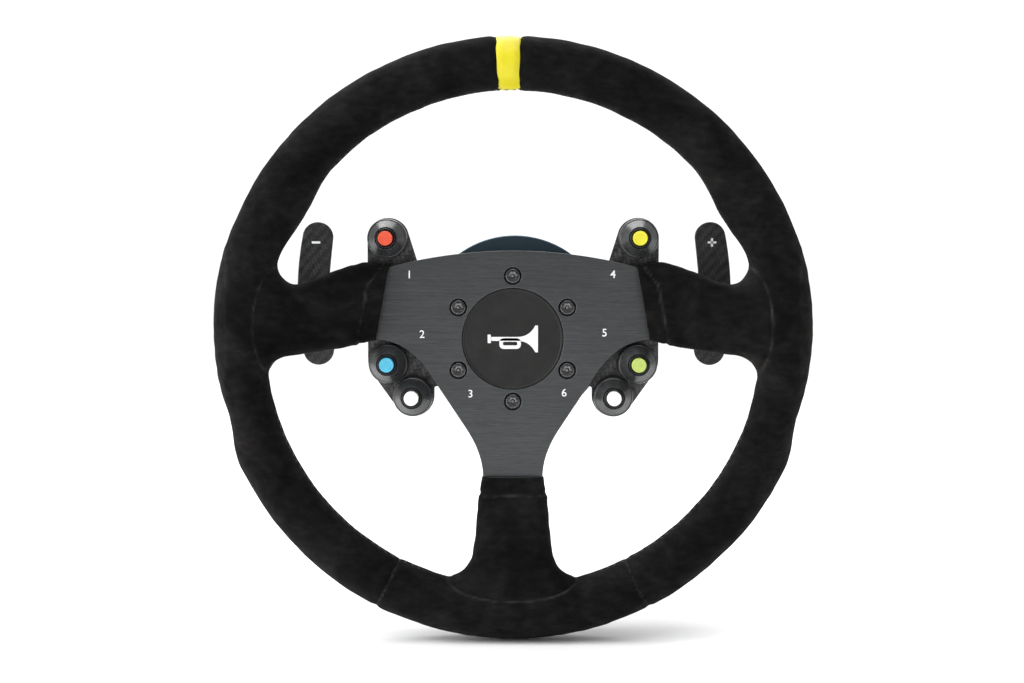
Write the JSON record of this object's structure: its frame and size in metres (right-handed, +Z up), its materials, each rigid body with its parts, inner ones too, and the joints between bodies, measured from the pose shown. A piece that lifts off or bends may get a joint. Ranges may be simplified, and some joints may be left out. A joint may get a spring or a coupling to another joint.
{
  "type": "quick release steering wheel",
  "caption": "Round three-spoke racing steering wheel, suede covered, with thumb buttons and shift paddles, on a splined quick-release hub with a spring-loaded pull sleeve.",
  "frame": {"origin": "centre of the column boss's rear end face, on the steering axis", "axes": "+Y along the steering axis towards the column, so the wheel faces -Y and the driver; +Z up; +X to the driver's right"},
  "size_m": [0.3272, 0.1657, 0.33],
  "materials": {
    "black_suede": "napped suede, very matte",
    "yellow_leather": "smooth dyed leather band",
    "foam": "self-skinned polyurethane padding",
    "black_aluminium": "black anodised, the plate brushed across",
    "grey_aluminium": "blue-grey anodised, satin turned",
    "bright_steel": "ground and polished",
    "black_steel": "black oxide",
    "carbon_fibre": "twill weave under satin resin",
    "black_plastic": "fine moulded texture",
    "red_cap": "translucent coloured cap",
    "blue_cap": "translucent coloured cap",
    "yellow_cap": "translucent coloured cap",
    "green_cap": "translucent coloured cap",
    "white_cap": "translucent coloured cap"
  },
  "bodies": {
    "column_hub": {"column_flange": "grey_aluminium", "qr_receiver": "black_aluminium", "retaining_ring": "bright_steel", "lock_collet": "bright_steel", "column_connector": "black_plastic"},
    "release_sleeve": {"release_sleeve": "grey_aluminium", "sleeve_end_ring": "grey_aluminium", "sleeve_spring": "bright_steel", "ring_screw_1": "black_steel", "ring_screw_2": "black_steel", "ring_screw_3": "black_steel", "ring_screw_4": "black_steel"},
    "wheel": {"wheel_adaptor": "black_aluminium", "wheel_connector": "black_plastic", "hub_spacer": "black_aluminium", "centre_cap": "black_plastic", "hub_bolt_1": "black_steel", "hub_bolt_2": "black_steel", "hub_bolt_3": "black_steel", "hub_bolt_4": "black_steel", "hub_bolt_5": "black_steel", "hub_bolt_6": "black_steel", "spoke_plate": "black_aluminium", "rim_foam": "foam", "rim_cover_left": "black_suede", "rim_cover_right": "black_suede", "rim_cover_bottom": "black_suede", "spoke_cover_bottom": "black_suede", "centre_mark": "yellow_leather", "button_bracket_left": "carbon_fibre", "button_bezel_left_upper": "black_plastic", "button_switch_left_upper": "black_plastic", "button_bezel_left_outer": "black_plastic", "button_switch_left_outer": "black_plastic", "button_bezel_left_inner": "black_plastic", "button_switch_left_inner": "black_plastic", "shifter_housing_left": "black_aluminium", "shifter_pivot_pin_left": "bright_steel", "shifter_stop_pin_left": "bright_steel", "button_bracket_right": "carbon_fibre", "button_bezel_right_upper": "black_plastic", "button_switch_right_upper": "black_plastic", "button_bezel_right_outer": "black_plastic", "button_switch_right_outer": "black_plastic", "button_bezel_right_inner": "black_plastic", "button_switch_right_inner": "black_plastic", "shifter_housing_right": "black_aluminium", "shifter_pivot_pin_right": "bright_steel", "shifter_stop_pin_right": "bright_steel"},
    "button_left_upper": {"button_cap_left_upper": "red_cap"},
    "button_left_outer": {"button_cap_left_outer": "blue_cap"},
    "button_left_inner": {"button_cap_left_inner": "white_cap"},
    "paddle_left": {"paddle_lever_left": "grey_aluminium", "paddle_blade_left": "carbon_fibre"},
    "button_right_upper": {"button_cap_right_upper": "yellow_cap"},
    "button_right_outer": {"button_cap_right_outer": "green_cap"},
    "button_right_inner": {"button_cap_right_inner": "white_cap"},
    "paddle_right": {"paddle_lever_right": "grey_aluminium", "paddle_blade_right": "carbon_fibre"}
  },
  "joints": [
    {"name": "sleeve_release_slide", "type": "slide", "parent": "column_hub", "child": "release_sleeve", "axis": [0, -1, 0], "range_m": [0, 0.005], "stiffness_N_per_m": 1667, "springref_m": -0.012, "deforming": ["sleeve_spring", "lock_collet"]},
    {"name": "wheel_pull_off", "type": "slide", "parent": "column_hub", "child": "wheel", "axis": [0, -1, 0], "range_m": [0, 0.04], "deforming": ["lock_collet"]},
    {"name": "press_left_upper", "type": "slide", "parent": "wheel", "child": "button_left_upper", "axis": [0, 1, 0], "range_m": [0, 0.0015], "stiffness_N_per_m": 1000, "springref_m": -0.001},
    {"name": "press_left_outer", "type": "slide", "parent": "wheel", "child": "button_left_outer", "axis": [0, 1, 0], "range_m": [0, 0.0015], "stiffness_N_per_m": 1000, "springref_m": -0.001},
    {"name": "press_left_inner", "type": "slide", "parent": "wheel", "child": "button_left_inner", "axis": [0, 1, 0], "range_m": [0, 0.0015], "stiffness_N_per_m": 1000, "springref_m": -0.001},
    {"name": "press_right_upper", "type": "slide", "parent": "wheel", "child": "button_right_upper", "axis": [0, 1, 0], "range_m": [0, 0.0015], "stiffness_N_per_m": 1000, "springref_m": -0.001},
    {"name": "press_right_outer", "type": "slide", "parent": "wheel", "child": "button_right_outer", "axis": [0, 1, 0], "range_m": [0, 0.0015], "stiffness_N_per_m": 1000, "springref_m": -0.001},
    {"name": "press_right_inner", "type": "slide", "parent": "wheel", "child": "button_right_inner", "axis": [0, 1, 0], "range_m": [0, 0.0015], "stiffness_N_per_m": 1000, "springref_m": -0.001},
    {"name": "shift_left", "type": "hinge", "parent": "wheel", "child": "paddle_left", "pos_m": [-0.0496, -0.106, 0], "axis": [0, 0, 1], "range_deg": [0, 6], "stiffness_Nm_per_rad": 3, "springref_deg": -5.73},
    {"name": "shift_right", "type": "hinge", "parent": "wheel", "child": "paddle_right", "pos_m": [0.0496, -0.106, 0], "axis": [0, 0, -1], "range_deg": [0, 6], "stiffness_Nm_per_rad": 3, "springref_deg": -5.73}
  ]
}
